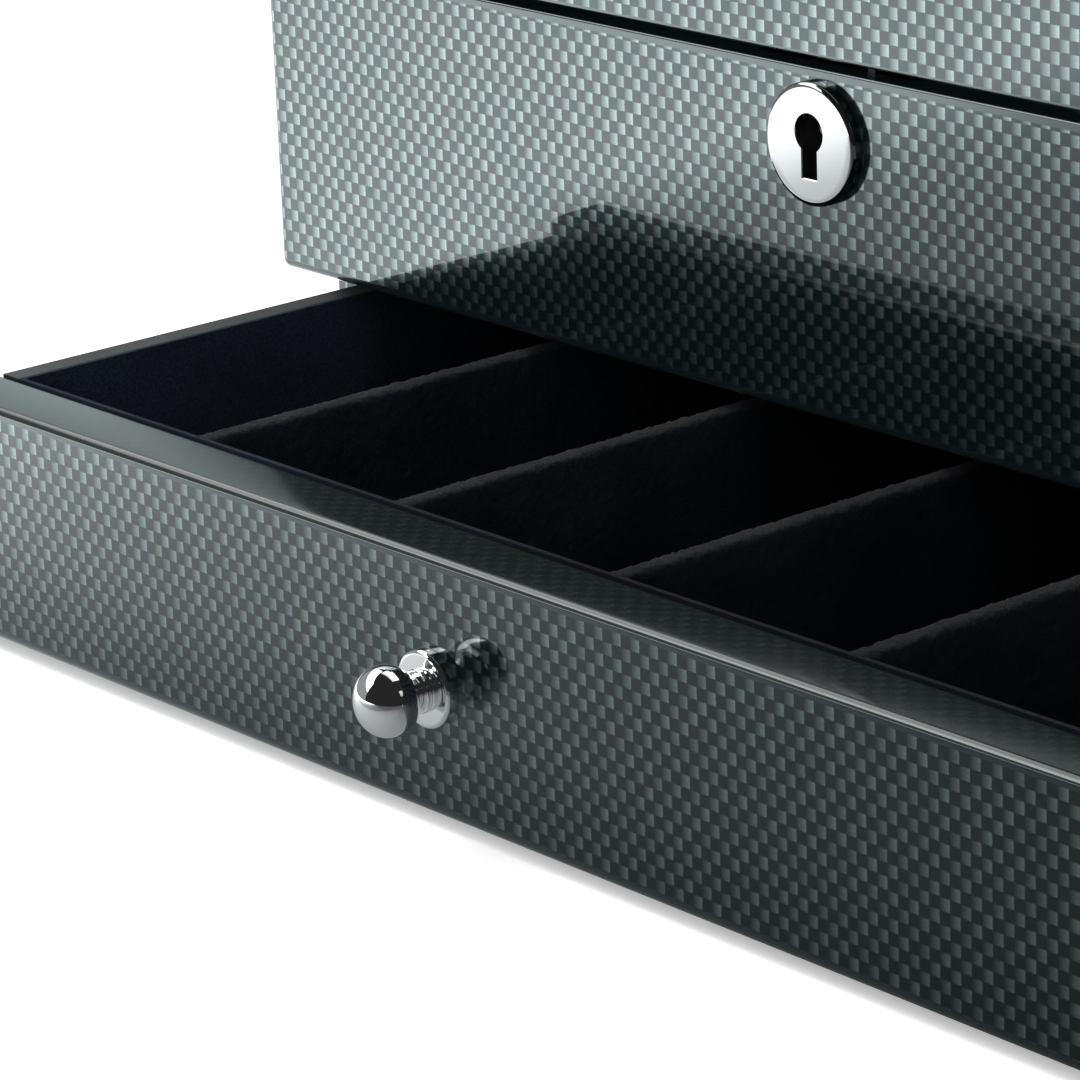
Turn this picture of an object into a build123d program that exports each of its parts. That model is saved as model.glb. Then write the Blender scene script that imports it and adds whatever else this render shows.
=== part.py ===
# Watch box: a lacquered case with ten watch pillows, a glazed hinged lid, a lock and a lined drawer.
# Millimetres. X runs along the front, the front faces -Y, Z is up. The origin is the middle of the
# case's footprint on the surface it stands on. The drawer is drawn pulled part of the way out.
import os

from build123d import *

os.makedirs("parts", exist_ok=True)

# Overall sizes
width = 285.0
depth = 212.0
front_y = -depth / 2
back_y = depth / 2
side_x = width / 2
edge_radius = 1.8
rim_radius = 0.4
ledge_front_radius = 1.3
ledge_back_radius = 0.9
corner_radius = 2.4

# Heights from the table up
felt_thickness = 1.0
base_thickness = 5.0
base_top = felt_thickness + base_thickness
drawer_front_bottom = 2.0
drawer_front_top = 43.9
bay_top = 46.6
shelf_thickness = 5.0
shelf_top = bay_top + shelf_thickness
case_top = 103.9
lid_gap = 1.7
lid_bottom = case_top + lid_gap
lid_height = 31.5
lid_top = lid_bottom + lid_height

# Wall thicknesses
front_thickness = 13.4
wall_thickness = 11.5
wall_front_y = front_y + front_thickness
inner_x = side_x - wall_thickness
inner_back_y = back_y - wall_thickness
shelf_tongue = 3.0
lining_thickness = 1.2

# Watch tray
divider_thickness = 3.6
tray_divider_top = 92.0
lap_clearance = 0.1
columns = 5
rows = 2
pillow_side_gap = 1.4
pillow_end_gap = 5.0
pillow_height = 36.0
pillow_floor_gap = 0.3

# Drawer
drawer_open = 82.4
drawer_more = 50.0
drawer_side_gap = 0.5
drawer_wall = 4.5
drawer_wall_top = 43.6
drawer_back_gap = 6.5
glide_thickness = 0.6
glide_width = 4.0
slide_clearance = 0.05
drawer_floor_lift = 1.3
drawer_floor_thickness = 3.0
drawer_floor_groove = 1.5
drawer_lining_thickness = 0.9
drawer_divider_thickness = 3.8
drawer_divider_top = 43.1
drawer_divider_pitch = 50.9
stop_width = 12.0
stop_length = 8.0
stop_height = 2.2
stop_x = 60.0
stop_spare = 0.3
ear_top = bay_top - 0.6

# Knob
rose_diameter = 12.4
rose_thickness = 2.0
ball_diameter = 10.8
ball_centre = 6.9
neck_diameter = 5.4
neck_foot_diameter = 7.0
neck_waist = 1.8
neck_meets_ball = 37.0
knob_foot_height = 0.9
knob_screw_diameter = 3.0
knob_screw_depth = 6.0
knob_head_diameter = 6.0
knob_head_height = 2.4

# Lock
plate_diameter = 19.9
plate_thickness = 2.2
plate_z = 92.1
plate_edge_radius = 0.9
keyhole_z = plate_z + 1.9
keyhole_diameter = 6.4
key_slot_width = 3.9
key_slot_bottom = keyhole_z - 7.4
lock_half_width = 15.0
lock_pocket_depth = 9.0
lock_bottom = 84.0
lock_clearance = 0.2
lock_wall = 0.8
selvedge_thickness = 1.2
selvedge_half_width = 18.0
bolt_height = 3.0
bolt_depth = 2.0
bolt_bottom = 97.6
bolt_tip_x = 4.0
bolt_length = 13.0
bolt_guide_width = 2.0
bolt_guide_places = (-6.5, 0.5)
link_x = 5.2
link_thickness = 1.6
link_width = 6.0
link_bottom = 95.6
link_margin = 0.5
link_plate_thickness = 1.2
link_plate_half_width = 16.0
drill_pin_diameter = 1.6

# Hinges
hinge_x = 85.0
hinge_length = 34.0
leaf_thickness = 0.8
leaf_reach = 10.0
knuckle_count = 5
knuckle_gap = 0.2
barrel_diameter = 4.6
pin_diameter = 2.0
pin_clearance = 0.05
barrel_clearance = 0.3
axis_y = back_y + 1.6
axis_z = case_top + lid_gap / 2
leaf_end_y = axis_y - barrel_diameter / 2 - barrel_clearance
screw_diameter = 2.0
screw_head_diameter = 4.0
screw_length = 8.0
screw_pitch = 12.0

# Lid
lid_wall = 12.0
lid_border = 28.0
lid_deck = 6.0
glass_thickness = 3.0
glass_lap = 6.0
glass_clearance = 0.3
bead_width = 9.0
bead_height = 7.0
bumper_diameter = 6.0
bumper_clearance = 0.1


def box_between(low, high, mode=Mode.ADD):
    # A box from one corner to the opposite one.
    middle = [(a + b) / 2 for a, b in zip(low, high)]
    with Locations(tuple(middle)):
        Box(high[0] - low[0], high[1] - low[1], high[2] - low[2], mode=mode)


def edges_at(part, axis, value):
    # The edges that lie at one place along an axis.
    return part.edges().filter_by_position(axis, value - 0.01, value + 0.01)


def save(builder, name):
    # Names a finished piece and writes it out.
    builder.part.label = name
    export_step(builder.part, f"parts/{name}.step")


def rim_prism(outer, inner, low, high):
    # A frame between two rectangles, each given as (x0, x1, y0, y1), from one height to another.
    box_between((outer[0], outer[2], low), (outer[1], outer[3], high))
    box_between((inner[0], inner[2], low), (inner[1], inner[3], high), mode=Mode.SUBTRACT)


def shrink(outline, amount):
    # A rectangle brought in by the same amount on all sides.
    return (outline[0] + amount, outline[1] - amount, outline[2] + amount, outline[3] - amount)


def wood_screw(x, y, z, up, mode=Mode.ADD):
    # A countersunk screw whose flat head lies at height z and whose shank points up or down.
    turn = (0, 0, 0) if up else (180, 0, 0)
    with Locations(Location((x, y, z), turn)):
        Cone(
            screw_head_diameter / 2, screw_diameter / 2, leaf_thickness,
            align=(Align.CENTER, Align.CENTER, Align.MIN), mode=mode,
        )
        Cylinder(
            screw_diameter / 2, screw_length,
            align=(Align.CENTER, Align.CENTER, Align.MIN), mode=mode,
        )


# The outer shapes that round the case and the lid alike at their corners
with BuildPart() as case_form:
    box_between((-side_x, front_y, felt_thickness), (side_x, back_y, case_top))
    fillet(case_form.edges().filter_by(Axis.Z), radius=corner_radius)
    fillet(edges_at(case_form, Axis.Z, case_top), radius=rim_radius)

with BuildPart() as lid_form:
    box_between((-side_x, front_y, lid_bottom), (side_x, back_y, lid_top))
    fillet(lid_form.edges().filter_by(Axis.Z), radius=corner_radius)
    fillet(edges_at(lid_form, Axis.Z, lid_top), radius=edge_radius)
    fillet(edges_at(lid_form, Axis.Z, lid_bottom), radius=rim_radius)

# Base: a board between the side walls and the felt sheet it stands on
with BuildPart() as base_board:
    box_between((-inner_x, wall_front_y, felt_thickness), (inner_x, inner_back_y, base_top))
save(base_board, "base_board")

felt_margin = 1.5
with BuildPart() as base_felt:
    box_between(
        (-side_x + felt_margin, wall_front_y + felt_margin, 0),
        (side_x - felt_margin, back_y - felt_margin, felt_thickness),
    )
save(base_felt, "base_felt")

# Side walls, each with the groove that holds the shelf's tongue
for side, name in ((-1, "case_left_side"), (1, "case_right_side")):
    with BuildPart() as side_wall:
        near, far = sorted((side * inner_x, side * side_x))
        box_between((near, wall_front_y, felt_thickness), (far, back_y, case_top))
        add(case_form.part, mode=Mode.INTERSECT)
        near, far = sorted((side * inner_x, side * (inner_x + shelf_tongue)))
        box_between((near, wall_front_y, bay_top), (far, inner_back_y, shelf_top), mode=Mode.SUBTRACT)
    save(side_wall, name)

# Hinge seats: where each knuckle stands along the pin, and which leaf it belongs to
knuckle_length = (hinge_length - knuckle_gap * (knuckle_count - 1)) / knuckle_count
hinge_centres = (-hinge_x, hinge_x)


def knuckles(of_case):
    # The start and end of every knuckle of one leaf, for both hinges.
    spans = []
    for centre in hinge_centres:
        for index in range(knuckle_count):
            if (index % 2 == 0) == of_case:
                start = centre - hinge_length / 2 + index * (knuckle_length + knuckle_gap)
                spans.append((start, start + knuckle_length))
    return spans


def barrel_relief():
    # Clears a round seat for the two barrels out of the piece being made.
    for centre in hinge_centres:
        with Locations(Location((centre, axis_y, axis_z), (0, 90, 0))):
            Cylinder(
                barrel_diameter / 2 + barrel_clearance, hinge_length + 2 * barrel_clearance,
                mode=Mode.SUBTRACT,
            )


def hinge_screw_places():
    # Three screws in a row through each leaf.
    return [
        (centre + step * screw_pitch, (leaf_end_y - leaf_reach + leaf_end_y) / 2)
        for centre in hinge_centres
        for step in (-1, 0, 1)
    ]


with BuildPart() as case_back_panel:
    box_between((-inner_x, inner_back_y, felt_thickness), (inner_x, back_y, case_top))
    add(case_form.part, mode=Mode.INTERSECT)
    barrel_relief()
    for x, y in hinge_screw_places():
        wood_screw(x, y, case_top + leaf_thickness, up=False, mode=Mode.SUBTRACT)
save(case_back_panel, "case_back_panel")

# Shelf: the floor of the watch tray and the roof of the drawer bay
with BuildPart() as case_shelf:
    box_between(
        (-inner_x - shelf_tongue, wall_front_y, bay_top),
        (inner_x + shelf_tongue, inner_back_y, shelf_top),
    )
save(case_shelf, "case_shelf")


def key_opening(y_plane, reach, mode=Mode.SUBTRACT):
    # The round eye and the slot below it, cut backwards from a plane across Y.
    with BuildSketch(Plane.XZ.offset(-y_plane)) as opening:
        with Locations((0, keyhole_z)):
            Circle(keyhole_diameter / 2)
        with Locations((0, (keyhole_z + key_slot_bottom) / 2)):
            Rectangle(key_slot_width, keyhole_z - key_slot_bottom)
    extrude(opening.sketch, amount=-reach, mode=mode)


# Front panel above the drawer, with the lock's pocket and the key's passage
pocket_front_y = wall_front_y - lock_pocket_depth
selvedge_front_y = pocket_front_y - 0.6
with BuildPart() as case_front_panel:
    box_between((-side_x, front_y, bay_top), (side_x, wall_front_y, case_top))
    add(case_form.part, mode=Mode.INTERSECT)
    outer_bottom = edges_at(case_front_panel, Axis.Z, bay_top) - edges_at(
        case_front_panel, Axis.Y, wall_front_y
    )
    fillet(outer_bottom, radius=edge_radius)
    box_between(
        (-lock_half_width, pocket_front_y, lock_bottom), (lock_half_width, wall_front_y, case_top),
        mode=Mode.SUBTRACT,
    )
    box_between(
        (-selvedge_half_width, selvedge_front_y, case_top - selvedge_thickness),
        (selvedge_half_width, wall_front_y, case_top),
        mode=Mode.SUBTRACT,
    )
    key_opening(front_y, front_thickness - lock_pocket_depth)
save(case_front_panel, "case_front_panel")

# Escutcheon: a round plate on the front with the keyhole through it
with BuildPart() as escutcheon:
    with Locations(Location((0, front_y, plate_z), (90, 0, 0))):
        Cylinder(plate_diameter / 2, plate_thickness, align=(Align.CENTER, Align.CENTER, Align.MIN))
    fillet(edges_at(escutcheon, Axis.Y, front_y - plate_thickness), radius=plate_edge_radius)
    key_opening(front_y - plate_thickness, plate_thickness)
save(escutcheon, "escutcheon")

# Lock: a thin metal box in the pocket, its cover strip, the bolt and the pin a hollow key turns on
lock_front_y = pocket_front_y + lock_clearance
lock_back_y = wall_front_y - lock_clearance
lock_top = case_top - selvedge_thickness
lock_x = lock_half_width - lock_clearance
bolt_y = (lock_front_y + lock_back_y) / 2
link_y0 = bolt_y - link_width / 2
link_y1 = bolt_y + link_width / 2
link_slot = (
    (link_x - link_margin, link_y0 - link_margin),
    (link_x + link_thickness + link_margin, link_y1 + link_margin),
)
with BuildPart() as lock_case:
    box_between((-lock_x, lock_front_y, lock_bottom + lock_clearance), (lock_x, lock_back_y, lock_top))
    box_between(
        (-lock_x + lock_wall, lock_front_y + lock_wall, lock_bottom + lock_clearance + lock_wall),
        (lock_x - lock_wall, lock_back_y - lock_wall, lock_top - lock_wall),
        mode=Mode.SUBTRACT,
    )
    box_between(
        (*link_slot[0], lock_top - 2 * lock_wall), (*link_slot[1], lock_top), mode=Mode.SUBTRACT
    )
    key_opening(lock_front_y, lock_wall)
    for x in bolt_guide_places:
        box_between(
            (x, bolt_y - bolt_depth / 2, bolt_bottom - slide_clearance - lock_wall),
            (x + bolt_guide_width, lock_back_y - lock_wall, bolt_bottom - slide_clearance),
        )
save(lock_case, "lock_case")

with BuildPart() as lock_selvedge:
    box_between(
        (-selvedge_half_width, selvedge_front_y, lock_top), (selvedge_half_width, wall_front_y, case_top)
    )
    box_between((*link_slot[0], lock_top), (*link_slot[1], case_top), mode=Mode.SUBTRACT)
save(lock_selvedge, "lock_selvedge")

with BuildPart() as lock_bolt:
    box_between(
        (bolt_tip_x - bolt_length, bolt_y - bolt_depth / 2, bolt_bottom),
        (bolt_tip_x, bolt_y + bolt_depth / 2, bolt_bottom + bolt_height),
    )
    with Locations((bolt_tip_x - bolt_length / 2, bolt_y, bolt_bottom)):
        Box(3.0, bolt_depth + 1.0, 1.6, mode=Mode.SUBTRACT)
save(lock_bolt, "lock_bolt")

with BuildPart() as lock_drill_pin:
    with Locations(Location((0, lock_back_y - lock_wall, keyhole_z), (90, 0, 0))):
        Cylinder(
            drill_pin_diameter / 2, lock_back_y - lock_wall - front_y - 1.0,
            align=(Align.CENTER, Align.CENTER, Align.MIN),
        )
save(lock_drill_pin, "lock_drill_pin")

# Linings of the watch tray and the boards that part it
tray = (-inner_x, inner_x, wall_front_y, inner_back_y)
lined = shrink(tray, lining_thickness)
tray_floor = shelf_top + lining_thickness
with BuildPart() as tray_floor_lining:
    box_between((tray[0], tray[2], shelf_top), (tray[1], tray[3], tray_floor))
save(tray_floor_lining, "tray_floor_lining")

with BuildPart() as tray_wall_lining:
    rim_prism(tray, lined, tray_floor, case_top - edge_radius)
save(tray_wall_lining, "tray_wall_lining")

cell_width = (lined[1] - lined[0] - (columns - 1) * divider_thickness) / columns
cell_length = (lined[3] - lined[2] - (rows - 1) * divider_thickness) / rows
column_centres = [lined[0] + cell_width / 2 + i * (cell_width + divider_thickness) for i in range(columns)]
row_centres = [lined[2] + cell_length / 2 + i * (cell_length + divider_thickness) for i in range(rows)]
cross_places = [x + (cell_width + divider_thickness) / 2 for x in column_centres[:-1]]
middle_y = sum(row_centres) / rows
lap_half = divider_thickness / 2 + lap_clearance
lap_height = (tray_floor + tray_divider_top) / 2

with BuildPart() as tray_long_divider:
    box_between(
        (lined[0], middle_y - divider_thickness / 2, tray_floor),
        (lined[1], middle_y + divider_thickness / 2, tray_divider_top),
    )
    for x in cross_places:
        box_between(
            (x - lap_half, middle_y - divider_thickness, lap_height),
            (x + lap_half, middle_y + divider_thickness, tray_divider_top),
            mode=Mode.SUBTRACT,
        )
save(tray_long_divider, "tray_long_divider")

with BuildPart() as tray_cross_dividers:
    for x in cross_places:
        box_between(
            (x - divider_thickness / 2, lined[2], tray_floor),
            (x + divider_thickness / 2, lined[3], tray_divider_top),
        )
    for x in cross_places:
        box_between(
            (x - divider_thickness, middle_y - lap_half, tray_floor),
            (x + divider_thickness, middle_y + lap_half, lap_height),
            mode=Mode.SUBTRACT,
        )
save(tray_cross_dividers, "tray_cross_dividers")

# Watch pillows: soft blocks, widest below the middle, drawn in at the foot and crowned on top
pillow_width = cell_width - 2 * pillow_side_gap
pillow_length = cell_length - 2 * pillow_end_gap
pillow_sections = (
    (0.0, 0.80, 0.86),
    (0.14, 0.95, 0.965),
    (0.42, 1.0, 1.0),
    (0.72, 0.95, 0.975),
    (0.92, 0.78, 0.88),
    (1.0, 0.52, 0.70),
)
number = 0
for y in row_centres:
    for x in column_centres:
        number += 1
        with BuildPart() as watch_pillow:
            for rise, across, along in pillow_sections:
                height = tray_floor + pillow_floor_gap + rise * pillow_height
                with BuildSketch(Plane.XY.offset(height)):
                    with Locations((x, y)):
                        RectangleRounded(
                            pillow_width * across, pillow_length * along, pillow_width * across * 0.3
                        )
            loft()
        save(watch_pillow, f"watch_pillow_{number}")

# Hinges: leaves in the gap under the lid, round knuckles and a pin through them
for name, of_case, low in (
    ("hinge_case_leaves", True, case_top),
    ("hinge_lid_leaves", False, lid_bottom - leaf_thickness),
):
    bore = pin_diameter / 2 if of_case else pin_diameter / 2 + pin_clearance
    with BuildPart() as leaves:
        for centre in hinge_centres:
            box_between(
                (centre - hinge_length / 2, leaf_end_y - leaf_reach, low),
                (centre + hinge_length / 2, leaf_end_y, low + leaf_thickness),
            )
        for start, end in knuckles(of_case):
            box_between((start, leaf_end_y, low), (end, axis_y, low + leaf_thickness))
            with Locations(Location(((start + end) / 2, axis_y, axis_z), (0, 90, 0))):
                Cylinder(barrel_diameter / 2, end - start)
        for start, end in knuckles(of_case):
            with Locations(Location(((start + end) / 2, axis_y, axis_z), (0, 90, 0))):
                Cylinder(bore, end - start, mode=Mode.SUBTRACT)
        for x, y in hinge_screw_places():
            head = case_top + leaf_thickness if of_case else lid_bottom - leaf_thickness
            wood_screw(x, y, head, up=not of_case, mode=Mode.SUBTRACT)
    save(leaves, name)

with BuildPart() as hinge_pins:
    for centre in hinge_centres:
        with Locations(Location((centre, axis_y, axis_z), (0, 90, 0))):
            Cylinder(pin_diameter / 2, hinge_length)
save(hinge_pins, "hinge_pins")

with BuildPart() as hinge_case_screws:
    for x, y in hinge_screw_places():
        wood_screw(x, y, case_top + leaf_thickness, up=False)
save(hinge_case_screws, "hinge_case_screws")

with BuildPart() as hinge_lid_screws:
    for x, y in hinge_screw_places():
        wood_screw(x, y, lid_bottom - leaf_thickness, up=True)
save(hinge_lid_screws, "hinge_lid_screws")

# Bumpers that carry the closed lid
bumper_places = (
    (-side_x + wall_thickness * 0.6, wall_front_y + 12.0),
    (side_x - wall_thickness * 0.6, wall_front_y + 12.0),
    (-side_x + wall_thickness * 0.6, 0.0),
    (side_x - wall_thickness * 0.6, 0.0),
)
with BuildPart() as lid_bumpers:
    for x, y in bumper_places:
        with Locations((x, y, case_top)):
            Cylinder(
                bumper_diameter / 2, lid_gap - bumper_clearance,
                align=(Align.CENTER, Align.CENTER, Align.MIN),
            )
save(lid_bumpers, "lid_bumpers")

# Lid: four mitred rails, each a wall with a deck that laps over the glass
lid_outline = (-side_x, side_x, front_y, back_y)


def rail_sector(side, outer_inset, inner_inset):
    # The mitred outline of one rail: 0 front, 1 right, 2 back, 3 left.
    outlines = []
    for inset in (outer_inset, inner_inset):
        x0, x1, y0, y1 = shrink(lid_outline, inset)
        outlines.append(((x0, y0), (x1, y0), (x1, y1), (x0, y1)))
    outer, inner = outlines
    end = (side + 1) % 4
    return [outer[side], outer[end], inner[end], inner[side]]


def rail_prism(side, outer_inset, inner_inset, low, high):
    # One mitred length of frame from one height to another.
    with BuildSketch(Plane.XY.offset(low)) as outline:
        with BuildLine():
            Polyline(*rail_sector(side, outer_inset, inner_inset), close=True)
        make_face()
    extrude(outline.sketch, amount=high - low)


link_plate_low = lid_bottom
link_plate_high = lid_bottom + link_plate_thickness
link_plate_y0 = front_y + 4.0
link_plate_y1 = front_y + lid_wall
link_screw_places = [(x, (link_plate_y0 + link_plate_y1) / 2) for x in (-11.0, 12.0)]
for side, name in enumerate(("lid_front_rail", "lid_right_rail", "lid_back_rail", "lid_left_rail")):
    with BuildPart() as lid_rail:
        rail_prism(side, 0, lid_wall, lid_bottom, lid_top)
        rail_prism(side, 0, lid_border, lid_top - lid_deck, lid_top)
        add(lid_form.part, mode=Mode.INTERSECT)
        if name == "lid_back_rail":
            barrel_relief()
            for x, y in hinge_screw_places():
                wood_screw(x, y, lid_bottom - leaf_thickness, up=True, mode=Mode.SUBTRACT)
        if name == "lid_front_rail":
            box_between(
                (-link_plate_half_width, link_plate_y0, link_plate_low),
                (link_plate_half_width, link_plate_y1, link_plate_high),
                mode=Mode.SUBTRACT,
            )
            for x, y in link_screw_places:
                wood_screw(x, y, lid_bottom, up=True, mode=Mode.SUBTRACT)
    save(lid_rail, name)

deck_bottom = lid_top - lid_deck
glass_outline = shrink(lid_outline, lid_border - glass_lap)
glass_top = deck_bottom - glass_clearance / 3
with BuildPart() as lid_glass:
    box_between(
        (glass_outline[0], glass_outline[2], glass_top - glass_thickness),
        (glass_outline[1], glass_outline[3], glass_top),
    )
save(lid_glass, "lid_glass")

# Beads: four mitred strips under the glass, fixed to the deck beside it
bead_low = glass_top - glass_thickness - bead_height + glass_thickness
bead_outer = lid_border - glass_lap - glass_clearance - 5.0
with BuildPart() as lid_glass_bead:
    for side in range(4):
        rail_prism(side, bead_outer, bead_outer + 5.0, bead_low, deck_bottom)
        rail_prism(side, bead_outer, bead_outer + bead_width, bead_low, glass_top - glass_thickness)
save(lid_glass_bead, "lid_glass_bead")

lid_lining_outer = shrink(lid_outline, lid_wall)
with BuildPart() as lid_lining:
    rim_prism(
        lid_lining_outer, shrink(lid_lining_outer, lining_thickness),
        lid_bottom + 1.0, deck_bottom,
    )
save(lid_lining, "lid_lining")

# Link: a plate let into the lid's front rail with the loop the bolt passes through
with BuildPart() as lock_link:
    box_between(
        (-link_plate_half_width, link_plate_y0, link_plate_low),
        (link_plate_half_width, link_plate_y1, link_plate_high),
    )
    box_between((link_x, link_y0, link_bottom), (link_x + link_thickness, link_y1, link_plate_low))
    box_between(
        (link_x, bolt_y - bolt_depth / 2 - link_margin, bolt_bottom - link_margin),
        (
            link_x + link_thickness,
            bolt_y + bolt_depth / 2 + link_margin,
            bolt_bottom + bolt_height + link_margin,
        ),
        mode=Mode.SUBTRACT,
    )
    for x, y in link_screw_places:
        wood_screw(x, y, lid_bottom, up=True, mode=Mode.SUBTRACT)
save(lock_link, "lock_link")

with BuildPart() as lock_link_screws:
    for x, y in link_screw_places:
        wood_screw(x, y, lid_bottom, up=True)
save(lock_link_screws, "lock_link_screws")

# Drawer glides and stops, fixed in the bay
drawer_x = inner_x - drawer_side_gap
with BuildPart() as drawer_glides:
    for side in (-1, 1):
        near, far = sorted((side * drawer_x, side * (drawer_x - glide_width)))
        box_between(
            (near, wall_front_y + 1.0, base_top), (far, inner_back_y - 1.0, base_top + glide_thickness)
        )
save(drawer_glides, "drawer_glides")

closed_back = inner_back_y - drawer_back_gap
back_inner_open = closed_back - drawer_wall - drawer_open
stop_back_y = back_inner_open - drawer_more - stop_spare
with BuildPart() as drawer_stops:
    for side in (-1, 1):
        box_between(
            (side * stop_x - stop_width / 2, stop_back_y - stop_length, bay_top - stop_height),
            (side * stop_x + stop_width / 2, stop_back_y, bay_top),
        )
save(drawer_stops, "drawer_stops")

# Drawer front
face_y = front_y - drawer_open
ledge_y = face_y + front_thickness
knob_z = (drawer_front_bottom + drawer_front_top) / 2
with BuildPart() as drawer_front:
    box_between((-side_x, face_y, drawer_front_bottom), (side_x, ledge_y, drawer_front_top))
    fillet(drawer_front.edges().filter_by(Axis.Z).sort_by(Axis.Y)[:2], radius=corner_radius)
    outer_edges = drawer_front.edges() - edges_at(drawer_front, Axis.Y, ledge_y)
    fillet(
        outer_edges.filter_by_position(Axis.Z, drawer_front_top - 0.01, drawer_front_top + 0.01),
        radius=ledge_front_radius,
    )
    outer_edges = drawer_front.edges() - edges_at(drawer_front, Axis.Y, ledge_y)
    fillet(
        outer_edges.filter_by_position(Axis.Z, drawer_front_bottom - 0.01, drawer_front_bottom + 0.01),
        radius=edge_radius,
    )
    fillet(
        edges_at(drawer_front, Axis.Y, ledge_y).sort_by(Axis.Z)[-1],
        radius=ledge_back_radius,
    )
    with Locations(Location((0, (face_y + ledge_y) / 2, knob_z), (90, 0, 0))):
        Cylinder(knob_screw_diameter / 2, front_thickness * 2, mode=Mode.SUBTRACT)
    with Locations(Location((0, ledge_y, knob_z), (90, 0, 0))):
        Cylinder(
            knob_head_diameter / 2, knob_head_height,
            align=(Align.CENTER, Align.CENTER, Align.MIN), mode=Mode.SUBTRACT,
        )
save(drawer_front, "drawer_front")

# Drawer box: two sides, a back with two raised ears, and a bottom held in grooves
box_bottom = base_top + glide_thickness + slide_clearance
box_back_y = closed_back - drawer_open
floor_low = box_bottom + drawer_floor_lift
floor_high = floor_low + drawer_floor_thickness
for side, name in ((-1, "drawer_left_side"), (1, "drawer_right_side")):
    with BuildPart() as drawer_side:
        near, far = sorted((side * drawer_x, side * (drawer_x - drawer_wall)))
        box_between((near, ledge_y, box_bottom), (far, box_back_y, drawer_wall_top))
        near, far = sorted(
            (side * (drawer_x - drawer_wall), side * (drawer_x - drawer_wall + drawer_floor_groove))
        )
        box_between((near, ledge_y, floor_low), (far, box_back_y, floor_high), mode=Mode.SUBTRACT)
    save(drawer_side, name)

inside_x = drawer_x - drawer_wall
inside_back_y = box_back_y - drawer_wall
with BuildPart() as drawer_back:
    box_between((-inside_x, inside_back_y, floor_high), (inside_x, box_back_y, drawer_wall_top))
    for side in (-1, 1):
        box_between(
            (side * stop_x - stop_width / 2, inside_back_y, drawer_wall_top),
            (side * stop_x + stop_width / 2, box_back_y, ear_top),
        )
save(drawer_back, "drawer_back")

with BuildPart() as drawer_bottom:
    box_between(
        (-inside_x - drawer_floor_groove, ledge_y, floor_low),
        (inside_x + drawer_floor_groove, box_back_y, floor_high),
    )
save(drawer_bottom, "drawer_bottom")

# Drawer lining: a pad on the floor, a strip round the walls and the boards between compartments
box_inside = (-inside_x, inside_x, ledge_y, inside_back_y)
box_lined = shrink(box_inside, drawer_lining_thickness)
pad_top = floor_high + drawer_lining_thickness
with BuildPart() as drawer_floor_pad:
    box_between((box_inside[0], box_inside[2], floor_high), (box_inside[1], box_inside[3], pad_top))
save(drawer_floor_pad, "drawer_floor_pad")

with BuildPart() as drawer_wall_lining:
    rim_prism(box_inside, box_lined, pad_top, drawer_wall_top)
save(drawer_wall_lining, "drawer_wall_lining")

with BuildPart() as drawer_dividers:
    for index in range(columns - 1):
        x = (index - (columns - 2) / 2) * drawer_divider_pitch
        box_between(
            (x - drawer_divider_thickness / 2, box_lined[2], pad_top),
            (x + drawer_divider_thickness / 2, box_lined[3], drawer_divider_top),
        )
save(drawer_dividers, "drawer_dividers")

# Knob: a round foot plate, a waisted neck and a ball, held by a screw from inside the drawer
rose_face_y = face_y - rose_thickness
with BuildPart() as knob_rose:
    with Locations(Location((0, face_y, knob_z), (90, 0, 0))):
        Cylinder(rose_diameter / 2, rose_thickness, align=(Align.CENTER, Align.CENTER, Align.MIN))
        Cylinder(
            knob_screw_diameter / 2, rose_thickness,
            align=(Align.CENTER, Align.CENTER, Align.MIN), mode=Mode.SUBTRACT,
        )
    fillet(edges_at(knob_rose, Axis.Y, rose_face_y).sort_by(SortBy.LENGTH)[-1], radius=0.7)
save(knob_rose, "knob_rose")

ball_y = rose_face_y - ball_centre
with BuildPart() as knob:
    with BuildSketch(Plane.YZ):
        with BuildLine():
            ball = CenterArc((ball_y, knob_z), ball_diameter / 2, neck_meets_ball, 180 - neck_meets_ball)
            foot = Line((rose_face_y, knob_z), (rose_face_y, knob_z + neck_foot_diameter / 2))
            rim = Line(foot @ 1, (rose_face_y - knob_foot_height, knob_z + neck_foot_diameter / 2))
            waist = (rose_face_y - neck_waist, knob_z + neck_diameter / 2)
            Spline(rim @ 1, waist, ball @ 0, tangents=((-0.2, -1.0), ball % 0))
            Line(ball @ 1, foot @ 0)
        make_face()
    revolve(axis=Axis((0, 0, knob_z), (0, 1, 0)))
    with Locations(Location((0, rose_face_y, knob_z), (90, 0, 0))):
        Cylinder(
            knob_screw_diameter / 2, knob_screw_depth,
            align=(Align.CENTER, Align.CENTER, Align.MIN), mode=Mode.SUBTRACT,
        )
save(knob, "knob")

with BuildPart() as knob_screw:
    with Locations(Location((0, ledge_y, knob_z), (90, 0, 0))):
        Cylinder(
            knob_head_diameter / 2, knob_head_height, align=(Align.CENTER, Align.CENTER, Align.MIN)
        )
        Cylinder(
            knob_screw_diameter / 2, front_thickness + rose_thickness + knob_screw_depth,
            align=(Align.CENTER, Align.CENTER, Align.MIN),
        )
save(knob_screw, "knob_screw")
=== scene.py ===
import math

import bmesh
import bpy
import numpy as np
from mathutils import Matrix, Vector


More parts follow.
